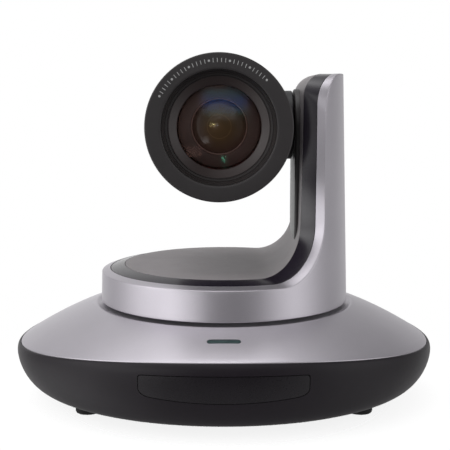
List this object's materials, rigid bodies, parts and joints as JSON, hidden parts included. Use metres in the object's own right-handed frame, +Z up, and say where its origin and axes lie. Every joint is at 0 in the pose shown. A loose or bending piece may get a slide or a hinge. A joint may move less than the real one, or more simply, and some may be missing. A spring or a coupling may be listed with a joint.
{
  "type": "pan-tilt-zoom conference camera",
  "caption": "Desktop conference camera: a lens head tilts on the single arm of a round turntable, which pans on a wide, flared base with rear sockets.",
  "frame": {"origin": "on the floor under the middle of the base, on the pan axis", "axes": "+Z up along the pan axis; -Y out of the lens; +X towards the arm"},
  "size_m": [0.2356, 0.202, 0.1913],
  "materials": {
    "silver_paint": "satin silver paint on moulded plastic",
    "satin_black": "fine satin moulded plastic",
    "gloss_black": "gloss moulded plastic",
    "panel_grey": "satin grey paint",
    "window_black": "smooth infrared-clear plastic",
    "light_bar": "smoked light pipe",
    "rubber": "matt rubber",
    "steel": "plated steel",
    "cast_alloy": "die-cast alloy",
    "brass": "turned brass",
    "acetal": "natural acetal",
    "circuit_board": "solder mask",
    "lens_glass": "coated optical glass",
    "dark_plastic": "matt moulded plastic",
    "socket_metal": "nickel-plated steel"
  },
  "bodies": {
    "base": {"base_lower_shell": "satin_black", "base_top_cover": "silver_paint", "ir_window": "window_black", "ir_receiver_board": "circuit_board", "ir_receiver": "dark_plastic", "status_light_bar": "light_bar", "base_plate": "steel", "tripod_insert": "brass", "foot_front_left": "rubber", "foot_front_right": "rubber", "foot_rear_left": "rubber", "foot_rear_right": "rubber", "base_screw_1": "steel", "base_screw_2": "steel", "base_screw_3": "steel", "base_screw_4": "steel", "rear_connector_bay": "satin_black", "power_socket": "dark_plastic", "network_socket": "socket_metal", "video_socket": "socket_metal", "usb_socket": "socket_metal", "control_in_socket": "dark_plastic", "control_out_socket": "dark_plastic", "audio_socket": "dark_plastic", "main_board": "circuit_board", "pan_chassis": "cast_alloy", "pan_bearing": "steel", "pan_motor": "steel"},
    "turntable": {"turntable_shell": "silver_paint", "trim_band": "gloss_black", "inner_panel": "panel_grey", "tilt_boss_cover": "satin_black", "turntable_plate": "cast_alloy", "pan_hub": "cast_alloy", "pan_gear": "acetal", "yoke_frame": "cast_alloy", "tilt_motor": "steel", "tilt_bearing": "steel", "arm_wire_harness": "rubber"},
    "head": {"head_barrel": "satin_black", "head_rear_cap": "satin_black", "front_ring": "satin_black", "lens_baffle": "dark_plastic", "front_lens": "lens_glass", "lens_barrel": "dark_plastic", "lens_bracket": "cast_alloy", "sensor_board": "circuit_board", "head_disc": "satin_black", "tilt_shaft": "steel", "tilt_gear": "acetal"},
    "pan_drive": {"pan_pinion": "brass"},
    "tilt_drive": {"tilt_pinion": "brass"},
    "focus_group": {"focus_lens_group": "lens_glass"},
    "zoom_group": {"zoom_lens_group": "lens_glass"}
  },
  "joints": [
    {"name": "pan", "type": "hinge", "parent": "base", "child": "turntable", "pos_m": [0, 0, 0.033], "axis": [0, 0, 1], "range_deg": [-170, 170]},
    {"name": "tilt", "type": "hinge", "parent": "turntable", "child": "head", "pos_m": [0, 0, 0.153], "axis": [-1, 0, 0], "range_deg": [-30, 90]},
    {"name": "pan_pinion_spin", "type": "hinge", "parent": "base", "child": "pan_drive", "pos_m": [0.03765, 0, 0.045], "axis": [0, 0, 1], "range_deg": [-681, 681]},
    {"name": "tilt_pinion_spin", "type": "hinge", "parent": "turntable", "child": "tilt_drive", "pos_m": [0.0525, 0, 0.12735], "axis": [-1, 0, 0], "range_deg": [-217, 73]},
    {"name": "focus_slide", "type": "slide", "parent": "head", "child": "focus_group", "axis": [0, -1, 0], "range_m": [-0.003, 0.003]},
    {"name": "zoom_slide", "type": "slide", "parent": "head", "child": "zoom_group", "axis": [0, -1, 0], "range_m": [-0.008, 0.008]}
  ],
  "couplings": [
    {"joint": "pan_pinion_spin", "follows": "pan", "ratio": -4},
    {"joint": "tilt_pinion_spin", "follows": "tilt", "ratio": -2.4}
  ]
}
